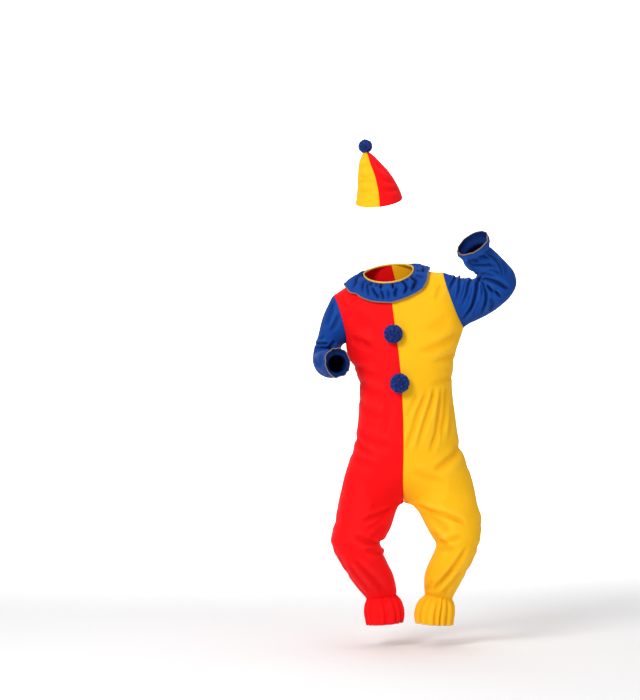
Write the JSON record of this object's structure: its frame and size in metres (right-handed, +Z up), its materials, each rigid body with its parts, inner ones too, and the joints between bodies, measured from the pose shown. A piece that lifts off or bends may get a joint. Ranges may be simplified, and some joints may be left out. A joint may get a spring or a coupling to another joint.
{
  "type": "clown jumpsuit and cone hat",
  "caption": "One-piece clown jumpsuit with ruffled collar, gathered cuffs and ankle frills, yarn pompoms and a soft two-colour cone hat, held in the pose of its wearer.",
  "frame": {"origin": "middle of the neck on the line between both shoulders, where the wearer carries the suit", "axes": "+Z up along the wearer, -Y towards the viewer in front, +X to the wearer's left"},
  "size_m": [0.756, 0.397, 1.8189],
  "materials": {
    "red": "smooth matt polyester knit",
    "gold": "smooth matt polyester knit",
    "blue": "smooth matt polyester knit",
    "binding": "narrow woven binding",
    "yarn": "cut wool-like yarn"
  },
  "bodies": {
    "root": {"front_red": "red", "back_red": "red", "front_gold": "gold", "back_gold": "gold", "sleeve_right": "blue", "sleeve_left": "blue", "collar_ruffle": "blue", "neck_binding": "binding", "pompom_upper": "yarn", "pompom_lower": "yarn", "hat_gold": "gold", "hat_red": "red", "hat_pompom": "yarn"}
  },
  "joints": []
}
